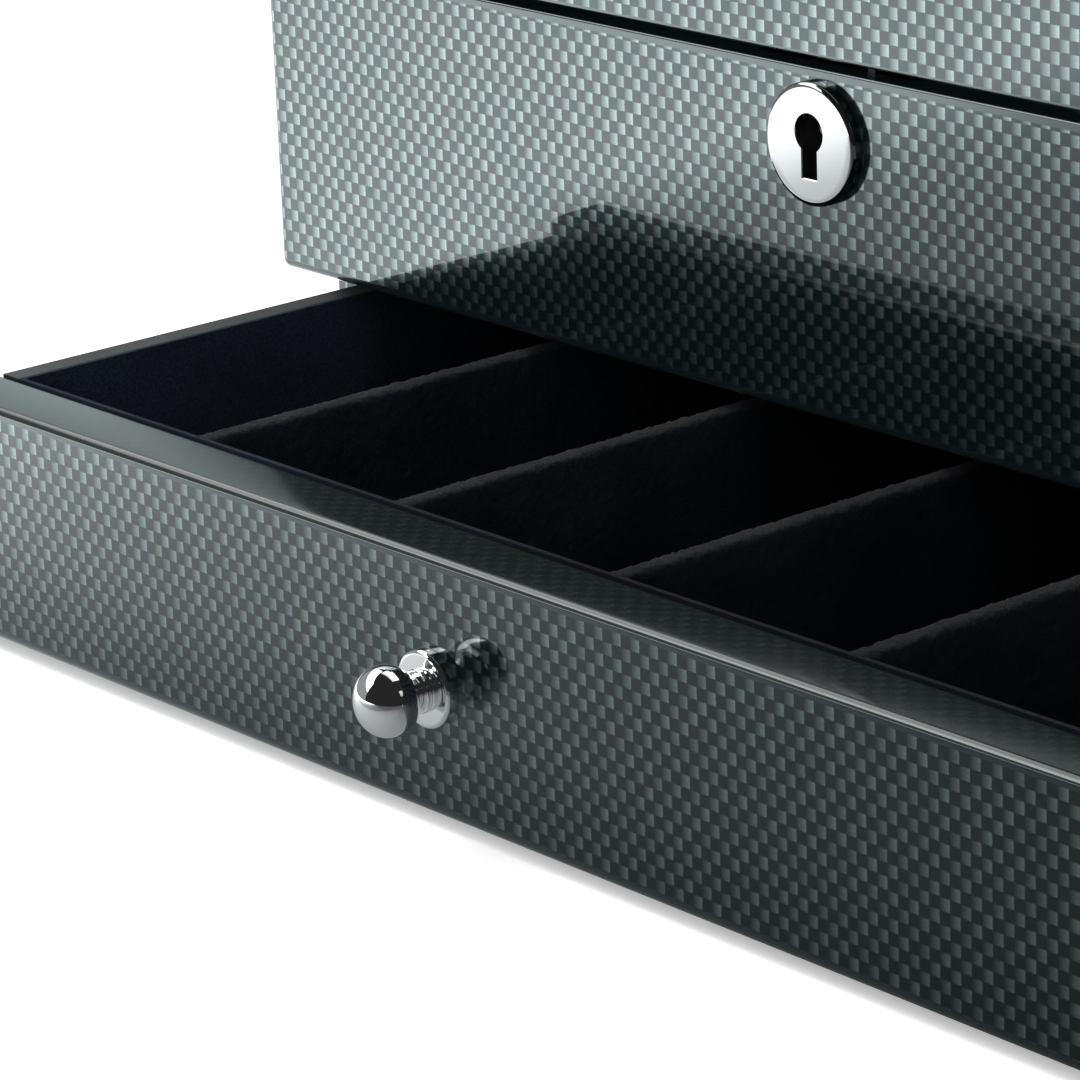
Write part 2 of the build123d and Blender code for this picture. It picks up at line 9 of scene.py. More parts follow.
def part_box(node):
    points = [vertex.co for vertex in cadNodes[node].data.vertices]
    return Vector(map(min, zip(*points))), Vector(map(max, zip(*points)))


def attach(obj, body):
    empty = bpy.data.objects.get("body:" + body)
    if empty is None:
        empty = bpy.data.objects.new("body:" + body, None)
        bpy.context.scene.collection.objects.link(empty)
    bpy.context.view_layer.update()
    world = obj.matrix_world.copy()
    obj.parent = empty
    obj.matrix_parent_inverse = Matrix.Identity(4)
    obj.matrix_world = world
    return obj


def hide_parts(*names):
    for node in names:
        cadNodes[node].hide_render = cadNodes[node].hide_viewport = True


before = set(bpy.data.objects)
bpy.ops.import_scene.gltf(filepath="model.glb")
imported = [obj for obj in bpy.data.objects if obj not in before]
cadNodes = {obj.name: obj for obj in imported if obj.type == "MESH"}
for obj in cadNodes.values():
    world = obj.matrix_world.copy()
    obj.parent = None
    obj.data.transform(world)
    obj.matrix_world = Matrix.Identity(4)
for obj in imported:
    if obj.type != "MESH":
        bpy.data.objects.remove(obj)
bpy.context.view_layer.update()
mm = 0.001
print("stage: frame loaded", len(cadNodes), "nodes")

# Small helpers


def startMaterial(name):
    # A new material with only its output node.
    material = bpy.data.materials.new(name)
    material.use_nodes = True
    tree = material.node_tree
    tree.nodes.clear()
    return material, tree, tree.nodes.new("ShaderNodeOutputMaterial")


def feed(tree, socket, value):
    # Puts a number, a colour or another node's output on an input.
    if isinstance(value, bpy.types.NodeSocket):
        tree.links.new(value, socket)
    else:
        socket.default_value = value


def calc(tree, operation, *inputs, clamp=False):
    node = tree.nodes.new("ShaderNodeMath")
    node.operation = operation
    node.use_clamp = clamp
    for socket, value in zip(node.inputs, inputs):
        feed(tree, socket, value)
    return node.outputs[0]


def split(tree, vector):
    node = tree.nodes.new("ShaderNodeSeparateXYZ")
    feed(tree, node.inputs[0], vector)
    return node.outputs


def join(tree, x, y, z):
    node = tree.nodes.new("ShaderNodeCombineXYZ")
    for socket, value in zip(node.inputs, (x, y, z)):
        feed(tree, socket, value)
    return node.outputs[0]


def blendNumbers(tree, share, a, b):
    node = tree.nodes.new("ShaderNodeMix")
    node.data_type = "FLOAT"
    for socket, value in zip((node.inputs[0], node.inputs[2], node.inputs[3]), (share, a, b)):
        feed(tree, socket, value)
    return node.outputs[0]


def blendColours(tree, share, a, b):
    node = tree.nodes.new("ShaderNodeMix")
    node.data_type = "RGBA"
    for socket, value in zip((node.inputs[0], node.inputs[6], node.inputs[7]), (share, a, b)):
        feed(tree, socket, value)
    return node.outputs[2]


def ramp(tree, value, low, high, outLow=0.0, outHigh=1.0, smooth=True):
    node = tree.nodes.new("ShaderNodeMapRange")
    node.interpolation_type = "SMOOTHSTEP" if smooth else "LINEAR"
    for index, item in enumerate((value, low, high, outLow, outHigh)):
        feed(tree, node.inputs[index], item)
    return node.outputs[0]


def noise(tree, vector, scale, detail=3.0, roughness=0.55):
    node = tree.nodes.new("ShaderNodeTexNoise")
    feed(tree, node.inputs["Vector"], vector)
    node.inputs["Scale"].default_value = scale
    node.inputs["Detail"].default_value = detail
    node.inputs["Roughness"].default_value = roughness
    return node.outputs["Fac"]


def stretched(tree, vector, scale):
    # The coordinates times a different factor along each axis.
    node = tree.nodes.new("ShaderNodeVectorMath")
    node.operation = "MULTIPLY"
    feed(tree, node.inputs[0], vector)
    node.inputs[1].default_value = scale
    return node.outputs[0]


def scaled(tree, vector, factor):
    node = tree.nodes.new("ShaderNodeVectorMath")
    node.operation = "SCALE"
    feed(tree, node.inputs[0], vector)
    feed(tree, node.inputs["Scale"], factor)
    return node.outputs[0]


def bump(tree, height, distance, strength=1.0):
    node = tree.nodes.new("ShaderNodeBump")
    node.inputs["Strength"].default_value = strength
    node.inputs["Distance"].default_value = distance
    feed(tree, node.inputs["Height"], height)
    return node.outputs[0]


def shade(tree, output, **values):
    # One principled shader; input names are given with underscores for spaces.
    node = tree.nodes.new("ShaderNodeBsdfPrincipled")
    for key, value in values.items():
        feed(tree, node.inputs[key.replace("_", " ")], value)
    tree.links.new(node.outputs[0], output.inputs["Surface"])
    return node


def place(tree):
    return tree.nodes.new("ShaderNodeTexCoord")


def product(tree, first, *others):
    # Several numbers multiplied together.
    result = first
    for other in others:
        result = calc(tree, "MULTIPLY", result, other)
    return result


# Finishes

weaveLook = {
    "square": 2.0 * mm,
    # lighter tints for the lying tows and darker ones for the upright tows: one black fibre painted in two
    # tones, as painted reflection that depends on fibre direction
    "lightGreen": (0.127, 0.166, 0.160),
    "lightGrey": (0.130, 0.163, 0.166),
    "darkBlue": (0.0105, 0.0205, 0.0245),
    "darkBrown": (0.0142, 0.0198, 0.0212),
    "edgeColour": (0.044, 0.057, 0.060, 1.0),
    "ledgeShare": 0.05,
    "edgeBand": 1.9 * mm,
    "bandSoftness": 0.08 * mm,
    "bandWobble": 0.4 * mm,
    "wander": 0.22 * mm,
    "ripple": 0.05 * mm,
    "baseRoughness": 0.15,
    "metal": 0.90,
    # haze is a painted glow: the face gives off a faint blue-grey light of its own that lifts its darks
    "haze": (0.0014, 0.0034, 0.0042, 1.0),
    "coatIor": 1.5,
    "coatRoughness": 0.012,
    "ledgeRoughness": 0.15,
}


def makeWovenLacquer(name, low, high, window=None, plainUp=0.0, plainDown=0.0, lean=None, clothUp=0.0):
    # A plain weave of flat tows under thick clear gloss. low and high are the corners of the block
    # whose edges stay plain; window is the half size of the opening in its top, if it has one.
    # plainUp and plainDown say how much of the weave is lost on faces that look up or down.
    # lean is added to the normal that the face is shaded by, because a hand-rubbed face is never
    # quite flat; clothUp is how much less the weave shines like metal on faces that look up.
    material, tree, output = startMaterial(name)
    coords = place(tree)
    spot = coords.outputs["Object"]
    x, y, z = split(tree, spot)
    nx, ny, nz = split(tree, coords.outputs["Normal"])
    facing = [calc(tree, "GREATER_THAN", calc(tree, "ABSOLUTE", n), 0.72) for n in (nx, ny, nz)]
    # distance to the nearest edge of the face a point lies on: half the block's size less the
    # distance from its middle, along both directions of that face, and the smaller of the two
    gaps = []
    for value, a, b, face in zip((x, y, z), low, high, facing):
        off = calc(tree, "ABSOLUTE", calc(tree, "SUBTRACT", value, (a + b) / 2))
        gap = calc(tree, "SUBTRACT", (b - a) / 2, off)
        gaps.append(calc(tree, "ADD", gap, face))
    edge = calc(tree, "MINIMUM", calc(tree, "MINIMUM", gaps[0], gaps[1]), gaps[2])
    if window:
        beyond = [
            calc(tree, "SUBTRACT", calc(tree, "ABSOLUTE", value), half)
            for value, half in zip((x, y), window)
        ]
        inner = calc(tree, "MAXIMUM", *beyond)
        inner = calc(tree, "ADD", inner, calc(tree, "SUBTRACT", 1.0, facing[2]))
        edge = calc(tree, "MINIMUM", edge, inner)
    wobble = calc(tree, "SUBTRACT", noise(tree, spot, 180.0, 2.0), 0.5)
    edge = calc(tree, "ADD", edge, calc(tree, "MULTIPLY", wobble, weaveLook["bandWobble"]))
    band, softness = weaveLook["edgeBand"], weaveLook["bandSoftness"]
    woven = ramp(tree, edge, band - softness, band + softness)
    # weave coordinates: across and up the face, in squares
    across = blendNumbers(tree, facing[0], x, y)
    up = blendNumbers(tree, facing[2], z, y)
    wander = calc(tree, "SUBTRACT", noise(tree, spot, 55.0, 2.0), 0.5)
    wander = calc(tree, "MULTIPLY", wander, weaveLook["wander"])
    square = weaveLook["square"]
    u = calc(tree, "DIVIDE", calc(tree, "ADD", calc(tree, "ADD", across, wander), 1.0), square)
    v = calc(tree, "DIVIDE", calc(tree, "ADD", calc(tree, "SUBTRACT", up, wander), 1.0), square)
    inU, inV = calc(tree, "FRACT", u), calc(tree, "FRACT", v)
    rowU, rowV = calc(tree, "FLOOR", u), calc(tree, "FLOOR", v)
    # lying: 1 where the tow on top runs across, 0 where it runs up
    parity = calc(tree, "FRACT", calc(tree, "MULTIPLY", calc(tree, "ADD", rowU, rowV), 0.5))
    lying = calc(tree, "MULTIPLY", 2.0, parity)
    # fine fibres: noise drawn out along the tow
    fibreAcross = noise(
        tree, join(tree, calc(tree, "MULTIPLY", u, 1.5), calc(tree, "MULTIPLY", v, 9.0), 0.0), 1.6, 4.0, 0.7
    )
    fibreUp = noise(
        tree, join(tree, calc(tree, "MULTIPLY", u, 9.0), calc(tree, "MULTIPLY", v, 0.9), 3.0), 1.6, 3.0, 0.6
    )
    # painted light: the lying tow is painted brighter towards its right end as a painted highlight on its
    # crown, its grain growing the same way, and painted darker where it dives under the next one and along
    # its sides, as painted shade between tows
    crownHighlight = ramp(tree, inU, 0.0, 0.92, 0.20, 1.30, smooth=False)
    diveShade = ramp(tree, inU, 0.93, 1.0, 1.0, 0.25)
    flankShade = calc(
        tree, "MULTIPLY", ramp(tree, inV, 0.0, 0.05, 0.35, 1.0), ramp(tree, inV, 0.95, 1.0, 1.0, 0.35)
    )
    specks = noise(tree, stretched(tree, spot, (1.0, 1.0, 1.6)), 7000.0, 1.0)
    grain = calc(
        tree, "ADD",
        ramp(tree, fibreAcross, 0.25, 0.75, -0.35, 0.35, smooth=False),
        ramp(tree, specks, 0.30, 0.72, -0.55, 0.65, smooth=False),
    )
    grain = calc(tree, "MULTIPLY", grain, inU)
    light = calc(tree, "MULTIPLY", calc(tree, "MULTIPLY", crownHighlight, diveShade), flankShade)
    light = calc(tree, "MULTIPLY", light, calc(tree, "ADD", 1.0, grain))
    towTone = noise(tree, join(tree, rowV, calc(tree, "MULTIPLY", rowU, 0.35), 0.0), 0.77, 1.0)
    light = calc(tree, "MULTIPLY", light, ramp(tree, towTone, 0.3, 0.7, 0.84, 1.16))
    dark = calc(tree, "ADD", 0.5, fibreUp)
    chance = tree.nodes.new("ShaderNodeTexWhiteNoise")
    chance.noise_dimensions = "2D"
    tree.links.new(join(tree, rowU, rowV, 0.0), chance.inputs["Vector"])
    hue = ramp(tree, chance.outputs["Value"], 0.35, 0.65)
    # painted reflection: both tows are one black fibre; the lying tow is painted light and the upright tow
    # dark, for how each direction mirrors the light
    litTowTint = blendColours(tree, hue, (*weaveLook["lightGreen"], 1.0), (*weaveLook["lightGrey"], 1.0))
    shadedTowTint = blendColours(tree, hue, (*weaveLook["darkBrown"], 1.0), (*weaveLook["darkBlue"], 1.0))
    cloth = blendColours(tree, lying, scaled(tree, shadedTowTint, dark), scaled(tree, litTowTint, light))
    colour = blendColours(tree, woven, weaveLook["edgeColour"], cloth)
    # faces that lose the weave: nearly black under the gloss
    looksUp, looksDown = ramp(tree, nz, 0.60, 0.75), ramp(tree, nz, -0.60, -0.75)
    lost = calc(
        tree, "ADD",
        calc(tree, "MULTIPLY", looksUp, plainUp),
        calc(tree, "MULTIPLY", looksDown, plainDown),
    )
    kept = blendNumbers(tree, lost, 1.0, weaveLook["ledgeShare"])
    ripple = bump(tree, noise(tree, spot, 26.0, 1.5), weaveLook["ripple"])
    if lean:
        turned = tree.nodes.new("ShaderNodeVectorMath")
        turned.operation = "ADD"
        feed(tree, turned.inputs[0], ripple)
        turned.inputs[1].default_value = lean
        ripple = turned.outputs[0]
    metal = calc(tree, "SUBTRACT", weaveLook["metal"], calc(tree, "MULTIPLY", looksUp, clothUp))
    duller = calc(tree, "MULTIPLY", lost, weaveLook["ledgeRoughness"])
    lacquer = shade(
        tree, output,
        Base_Color=scaled(tree, colour, kept),
        Metallic=calc(tree, "MULTIPLY", calc(tree, "SUBTRACT", 1.0, lost), metal),
        Specular_IOR_Level=0.0,
        # painted light: the face glows faintly blue-grey, lifting its darks
        Emission_Color=weaveLook["haze"],
        Emission_Strength=1.0,
        Roughness=weaveLook["baseRoughness"],
        Coat_Weight=1.0,
        Coat_IOR=weaveLook["coatIor"],
        Coat_Roughness=calc(tree, "ADD", weaveLook["coatRoughness"], duller),
        Coat_Normal=ripple,
    )
    if lean:
        feed(tree, lacquer.inputs["Normal"], ripple)
    return material


def sewSeam(tree, tone, pile, seamAt):
    # A seam round each end of a pillow: a pinched line with a row of stitches on both sides of it.
    # away is the distance from the seam's line, in half lengths of the pillow.
    spot = tree.nodes.new("ShaderNodeAttribute")
    spot.attribute_name = "place_in_pillow"
    x, y, z = split(tree, spot.outputs["Vector"])
    away = calc(tree, "ABSOLUTE", calc(tree, "SUBTRACT", calc(tree, "ABSOLUTE", y), seamAt))
    pinch = ramp(tree, away, 0.0, 0.030, 1.0, 0.0)
    offRow = calc(tree, "ABSOLUTE", calc(tree, "SUBTRACT", away, 0.060))
    stitches = calc(tree, "SINE", calc(tree, "MULTIPLY", calc(tree, "ADD", x, z), 38.0))
    row = product(tree, ramp(tree, offRow, 0.007, 0.013, 1.0, 0.0), ramp(tree, stitches, -0.2, 0.1))
    # painted shade: the pinched line is painted darker, as shade in the crease
    darker = calc(tree, "SUBTRACT", 1.0, calc(tree, "MULTIPLY", pinch, 0.75))
    lighter = calc(tree, "ADD", 1.0, calc(tree, "MULTIPLY", row, 1.1))
    raised = calc(tree, "ADD", pile, calc(tree, "MULTIPLY", row, 1.5))
    height = calc(tree, "SUBTRACT", raised, calc(tree, "MULTIPLY", pinch, 6.0))
    return product(tree, tone, darker, lighter), height


def makeVelvet(name, colour, lift, paintedTopSheen=None, paintedLeftLight=1.0, seamAt=None):
    # Short pile: nearly black looking into it, a soft rim of light at a slant, combed patches.
    # the colour given for where it looks up is a painted sheen on the tops, and the share given for the left
    # is how much lighter it is painted towards the left, as painted light;
    # seamAt is where the seams of a pillow run, as a share of its half length.
    material, tree, output = startMaterial(name)
    coords = place(tree).outputs["Object"]
    patches = noise(tree, coords, 38.0, 3.0)
    pile = noise(tree, coords, 2600.0, 2.0)
    tone = product(
        tree,
        ramp(tree, patches, 0.3, 0.7, 0.75, 1.3),
        ramp(tree, pile, 0.3, 0.7, 0.6, 1.4),
        # painted light: the pile is painted lighter towards the left, where more light falls on it
        ramp(tree, split(tree, coords)[0], -0.10, 0.03, paintedLeftLight, 1.0),
    )
    height = pile
    if seamAt:
        tone, height = sewSeam(tree, tone, pile, seamAt)
    tint = colour
    # painted sheen: where it looks up the pile takes a lighter colour, as light catching the tops
    if paintedTopSheen:
        normal = place(tree).outputs["Normal"]
        crest = ramp(tree, split(tree, normal)[2], 0.25, 0.85)
        tint = blendColours(tree, crest, (*colour, 1.0), (*paintedTopSheen, 1.0))
    shade(
        tree, output,
        Base_Color=scaled(tree, tint, tone),
        Roughness=0.95,
        Specular_IOR_Level=0.12,
        Sheen_Weight=lift,
        Sheen_Roughness=0.38,
        Sheen_Tint=(0.75, 0.80, 0.95, 1.0),
        Normal=bump(tree, height, 0.12 * mm, 0.7),
    )
    return material


def makeChrome(name, colour):
    # Mirror plating with the faintest hazing and hairlines.
    material, tree, output = startMaterial(name)
    coords = place(tree).outputs["Object"]
    haze = noise(tree, coords, 120.0, 4.0)
    lines = noise(tree, stretched(tree, coords, (900.0, 900.0, 9000.0)), 1.0, 2.0)
    shade(
        tree, output,
        Base_Color=colour,
        Metallic=1.0,
        Roughness=ramp(tree, haze, 0.35, 0.75, 0.025, 0.07),
        Normal=bump(tree, lines, 0.002 * mm, 0.3),
    )
    return material


def makeSteel(name):
    # Brushed steel: fine lines along X.
    material, tree, output = startMaterial(name)
    coords = place(tree).outputs["Object"]
    lines = noise(tree, stretched(tree, coords, (120.0, 5200.0, 5200.0)), 1.0, 3.0)
    shade(
        tree, output,
        Base_Color=blendColours(tree, lines, (0.42, 0.43, 0.44, 1.0), (0.62, 0.63, 0.64, 1.0)),
        Metallic=1.0,
        Roughness=ramp(tree, lines, 0.3, 0.7, 0.26, 0.40),
        Normal=bump(tree, lines, 0.01 * mm, 0.5),
    )
    return material


def makeStainedWood(name):
    # Black satin stain over a fine straight grain that lies level on upright faces.
    material, tree, output = startMaterial(name)
    coords = place(tree).outputs["Object"]
    grain = noise(tree, stretched(tree, coords, (60.0, 60.0, 900.0)), 1.0, 5.0, 0.6)
    shade(
        tree, output,
        Base_Color=blendColours(tree, grain, (0.010, 0.010, 0.011, 1.0), (0.026, 0.024, 0.023, 1.0)),
        Roughness=ramp(tree, grain, 0.3, 0.7, 0.42, 0.55),
        Normal=bump(tree, grain, 0.05 * mm, 0.6),
    )
    return material


def makeFelt(name):
    material, tree, output = startMaterial(name)
    coords = place(tree).outputs["Object"]
    fluff = noise(tree, coords, 900.0, 5.0)
    shade(
        tree, output,
        Base_Color=blendColours(tree, fluff, (0.012, 0.012, 0.013, 1.0), (0.045, 0.045, 0.048, 1.0)),
        Roughness=1.0,
        Sheen_Weight=0.3,
        Normal=bump(tree, fluff, 0.3 * mm),
    )
    return material


def makeGlass(name):
    # Clear glass with a faint green tone and a hardly visible haze.
    material, tree, output = startMaterial(name)
    coords = place(tree).outputs["Object"]
    haze = noise(tree, coords, 14.0, 3.0)
    shade(
        tree, output,
        Base_Color=(0.965, 0.985, 0.975, 1.0),
        Roughness=ramp(tree, haze, 0.3, 0.8, 0.0, 0.012),
        IOR=1.5,
        Transmission_Weight=1.0,
    )
    return material


def makePlastic(name, colour, roughness):
    material, tree, output = startMaterial(name)
    coords = place(tree).outputs["Object"]
    speck = noise(tree, coords, 700.0, 3.0)
    darker = tuple(c * 0.8 for c in colour[:3]) + (1.0,)
    shade(
        tree, output,
        Base_Color=blendColours(tree, speck, darker, colour),
        Roughness=ramp(tree, speck, 0.3, 0.7, roughness - 0.06, roughness + 0.06),
        Normal=bump(tree, speck, 0.02 * mm, 0.5),
    )
    return material


def spanOf(*names):
    # The lowest and highest corner of several CAD nodes together, in metres.
    corners = [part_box(name) for name in names]
    low = [min(c[0][i] for c in corners) for i in range(3)]
    high = [max(c[1][i] for c in corners) for i in range(3)]
    return low, high


caseWalls = ("case_front_panel", "case_left_side", "case_right_side", "case_back_panel")
lidRails = ("lid_front_rail", "lid_right_rail", "lid_back_rail", "lid_left_rail")
caseLow, caseHigh = spanOf(*caseWalls)
frontLow = spanOf("case_front_panel")[0]
lidLow, lidHigh = spanOf(*lidRails)
drawerLow, drawerHigh = spanOf("drawer_front")
glassHigh = spanOf("lid_glass")[1]
glassLap = 6.0 * mm
windowHalf = (glassHigh[0] - glassLap, glassHigh[1] - glassLap)

# the weave runs closer to the rims on both sides of the lid gap
caseHigh = [caseHigh[0], caseHigh[1], caseHigh[2] + 0.5 * mm]
lidLow = [lidLow[0], lidLow[1], lidLow[2] - 1.2 * mm]
caseGloss = makeWovenLacquer("woven_lacquer_case", caseLow, caseHigh, plainUp=1.0)
upperLow = [frontLow[0], caseLow[1], frontLow[2]]
upperGloss = makeWovenLacquer(
    "woven_lacquer_upper_front", upperLow, caseHigh, plainUp=1.0, lean=(0.0175, 0.0, 0.0050)
)
lidGloss = makeWovenLacquer("woven_lacquer_lid", lidLow, lidHigh, windowHalf, plainDown=1.0, clothUp=0.30)
drawerGloss = makeWovenLacquer("woven_lacquer_drawer", drawerLow, drawerHigh, plainUp=1.0)
velvet = makeVelvet("velvet_black", (0.0034, 0.0046, 0.0075), 0.07)
# the drawer lining and the boards are painted lighter towards the left as painted light, and the boards' tops
# are painted lighter as painted sheen
drawerVelvet = makeVelvet("velvet_drawer", (0.0036, 0.0055, 0.0090), 0.05, paintedLeftLight=2.6)
velvetEdge = makeVelvet("velvet_boards", (0.0036, 0.0054, 0.0088), 0.03, (0.0115, 0.0125, 0.0140), 1.7)
pillowCloth = makeVelvet("pillow_suede", (0.020, 0.021, 0.025), 0.32, seamAt=0.80)
# one chrome plating in two brightnesses: the plate's copy is painted darker, as painted shade that dims what
# it mirrors
chrome = makeChrome("polished_chrome", (0.93, 0.94, 0.95, 1.0))
plateChromeShaded = makeChrome("polished_chrome_plate_shaded", (0.40, 0.402, 0.405, 1.0))
# the lock's link and selvedge take chrome painted nearly black, as painted shade in the lid gap
gapShadeNickel = makeChrome("nickel_painted_dark", (0.09, 0.09, 0.10, 1.0))
steel = makeSteel("brushed_steel")
stainedWood = makeStainedWood("stained_wood")
felt = makeFelt("pressed_felt")
clearGlass = makeGlass("clear_glass")
glidePlastic = makePlastic("waxy_plastic", (0.62, 0.60, 0.55, 1.0), 0.45)
bumperRubber = makePlastic("soft_rubber", (0.02, 0.02, 0.02, 1.0), 0.7)
# nearly black for the keyhole's walls, as painted shade in the hole
keyholeShade = makePlastic("keyhole_painted_shade", (0.010, 0.009, 0.008, 1.0), 0.5)
print("stage: finishes made")

# Making pieces


def addPiece(name, vertices, faces, material, body, smooth=True):
    # A mesh from arrays: vertices in metres, faces as rows of vertex numbers.
    mesh = bpy.data.meshes.new(name)
    mesh.from_pydata(vertices.tolist(), [], faces.tolist())
    mesh.materials.append(material)
    mesh.polygons.foreach_set("use_smooth", [smooth] * len(mesh.polygons))
    mesh.update()
    piece = bpy.data.objects.new(name, mesh)
    bpy.context.scene.collection.objects.link(piece)
    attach(piece, body)
    return piece


def polishedCopy(name, cadName, material, body, sharpAngle=35.0):
    # A node's own shape with its corners joined and its roundings shaded as curves.
    mesh = cadNodes[cadName].data.copy()
    mesh.name = name
    work = bmesh.new()
    work.from_mesh(mesh)
    bmesh.ops.remove_doubles(work, verts=work.verts, dist=1e-6)
    bmesh.ops.dissolve_degenerate(work, dist=1e-7, edges=work.edges)
    work.to_mesh(mesh)
    work.free()
    mesh.materials.clear()
    mesh.materials.append(material)
    mesh.shade_smooth()
    mesh.set_sharp_from_angle(angle=math.radians(sharpAngle))
    # faces square to an axis stay dead flat, so only the roundings are shaded as curves
    normals = np.empty(len(mesh.polygons) * 3)
    mesh.polygons.foreach_get("normal", normals)
    nearlySquare = 0.9998
    square = np.abs(normals.reshape(-1, 3)).max(1) > nearlySquare
    mesh.polygons.foreach_set("use_smooth", ~square)
    piece = bpy.data.objects.new(name, mesh)
    bpy.context.scene.collection.objects.link(piece)
    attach(piece, body)
    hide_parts(cadName)
    return piece


def lathe(name, profile, centre, material, body, segments=128):
    # Turns a profile of (distance along -Y, radius) about an axis along Y through centre: each
    # point goes round the axis at its radius, and the first and last close to one point each.
    profile = np.asarray(profile, float)
    angle = np.linspace(0, 2 * np.pi, segments, endpoint=False)
    ring = profile[1:-1]
    y = np.repeat(centre[1] - ring[:, 0], segments)
    x = centre[0] + (ring[:, 1][:, None] * np.cos(angle)).ravel()
    z = centre[2] + (ring[:, 1][:, None] * np.sin(angle)).ravel()
    vertices = np.c_[x, y, z]
    rows = len(ring)
    index = np.arange(rows * segments).reshape(rows, segments)
    a, b = index[:-1], index[1:]
    quads = np.stack([a, b, np.roll(b, -1, 1), np.roll(a, -1, 1)], -1).reshape(-1, 4)
    first, last = len(vertices), len(vertices) + 1
    poles = np.array([
        [centre[0], centre[1] - profile[0, 0], centre[2]],
        [centre[0], centre[1] - profile[-1, 0], centre[2]],
    ])
    vertices = np.vstack([vertices, poles])
    capA = np.stack([np.full(segments, first), index[0], np.roll(index[0], -1)], -1)
    capB = np.stack([np.full(segments, last), np.roll(index[-1], -1), index[-1]], -1)
    mesh = bpy.data.meshes.new(name)
    mesh.from_pydata(vertices.tolist(), [], quads.tolist() + capA.tolist() + capB.tolist())
    mesh.materials.append(material)
    mesh.polygons.foreach_set("use_smooth", [True] * len(mesh.polygons))
    fixNormals(mesh)
    piece = bpy.data.objects.new(name, mesh)
    bpy.context.scene.collection.objects.link(piece)
    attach(piece, body)
    return piece


def fixNormals(mesh):
    work = bmesh.new()
    work.from_mesh(mesh)
    bmesh.ops.recalc_face_normals(work, faces=work.faces)
    work.to_mesh(mesh)
    work.free()


def roundedBlock(low, high, radius, step):
    # A box skin of small squares whose corners are drawn in: each point moves to the given radius
    # from the nearest point of the box that is smaller by that radius on every side.
    low, high = np.asarray(low, float), np.asarray(high, float)
    counts = np.maximum(2, np.ceil((high - low) / step).astype(int) + 1)
    sheets, faces, start = [], [], 0
    for axis in range(3):
        i, j = [k for k in range(3) if k != axis]
        a = np.linspace(low[i], high[i], counts[i])
        b = np.linspace(low[j], high[j], counts[j])
        for end, value in ((0, low[axis]), (1, high[axis])):
            ga, gb = np.meshgrid(a, b, indexing="ij")
            points = np.empty(ga.shape + (3,))
            points[..., i], points[..., j], points[..., axis] = ga, gb, value
            index = start + np.arange(ga.size).reshape(ga.shape)
            quad = np.stack([index[:-1, :-1], index[1:, :-1], index[1:, 1:], index[:-1, 1:]], -1)
            quad = quad.reshape(-1, 4)
            flip = (end == 0) != (axis == 1)
            faces.append(quad[:, ::-1] if flip else quad)
            sheets.append(points.reshape(-1, 3))
            start += ga.size
    vertices, faces = np.vstack(sheets), np.vstack(faces)
    first, back = np.unique(
        np.round(vertices * 1e7).astype(np.int64), axis=0, return_index=True, return_inverse=True
    )[1:]
    vertices, faces = vertices[first], back.ravel()[faces]
    core = np.clip(vertices, low + radius, high - radius)
    away = vertices - core
    length = np.linalg.norm(away, axis=1, keepdims=True)
    return core + away / np.maximum(length, 1e-9) * radius, faces, away / np.maximum(length, 1e-9)


def fuzz(points, amount, seed):
    # A small random step for each point, the same on each run.
    return np.random.default_rng(seed).normal(0.0, amount, len(points))


def velvetBlock(name, low, high, radius, step, roughen, material, body, seed):
    # A rounded block whose points each move in or out by a random step of up to twice roughen.
    points, faces, outward = roundedBlock(low, high, radius, step)
    points = points + outward * np.clip(fuzz(points, roughen, seed), -2 * roughen, 2 * roughen)[:, None]
    return addPiece(name, points, faces, material, body)


# Gloss panels

for cadName in caseWalls:
    finish = upperGloss if cadName == "case_front_panel" else caseGloss
    polishedCopy(cadName + "_gloss", cadName, finish, "case")
for cadName in lidRails:
    polishedCopy(cadName + "_gloss", cadName, lidGloss, "lid")


def arcSteps(count):
    # Distances from an edge, in radii, that part a quarter round into even turns.
    return 1 - np.tan(np.linspace(np.pi / 4, 0, count))


def spread(low, high, softLow, softHigh, step):
    # Places along one side of a block: close together over the roundings, even between them.
    middle = np.linspace(low + softLow, high - softHigh, max(2, int((high - low) / step) + 1))
    return np.concatenate([
        low + softLow * arcSteps(7)[:-1], middle, (high - softHigh * arcSteps(7)[:-1])[::-1]
    ])


def softBlock(low, high, softLow, softHigh, step):
    # A box skin with rounded edges whose radius may differ on each side: the part q of a point
    # that sticks out of the smaller box, in radii, is brought to length one.
    low, high, softLow, softHigh = (np.asarray(v, float) for v in (low, high, softLow, softHigh))
    lines = [spread(low[k], high[k], softLow[k], softHigh[k], step) for k in range(3)]
    points, faces, start = [], [], 0
    for axis in range(3):
        i, j = [k for k in range(3) if k != axis]
        ga, gb = np.meshgrid(lines[i], lines[j], indexing="ij")
        index = np.arange(ga.size).reshape(ga.shape)
        quad = np.stack([index[:-1, :-1], index[1:, :-1], index[1:, 1:], index[:-1, 1:]], -1).reshape(-1, 4)
        for end, value in ((0, low[axis]), (1, high[axis])):
            sheet = np.empty(ga.shape + (3,))
            sheet[..., i], sheet[..., j], sheet[..., axis] = ga, gb, value
            points.append(sheet.reshape(-1, 3))
            faces.append((quad[:, ::-1] if (end == 0) != (axis == 1) else quad) + start)
            start += ga.size
    points, faces = np.vstack(points), np.vstack(faces)
    first, back = np.unique(
        np.round(points * 1e8).astype(np.int64), axis=0, return_index=True, return_inverse=True
    )[1:]
    points, faces = points[first], back.ravel()[faces]
    core = np.clip(points, low + softLow, high - softHigh)
    away = points - core
    radius = np.where(away < 0, softLow, softHigh)
    q = away / radius
    return core + radius * q / np.maximum(np.linalg.norm(q, axis=1, keepdims=True), 1e-9), faces


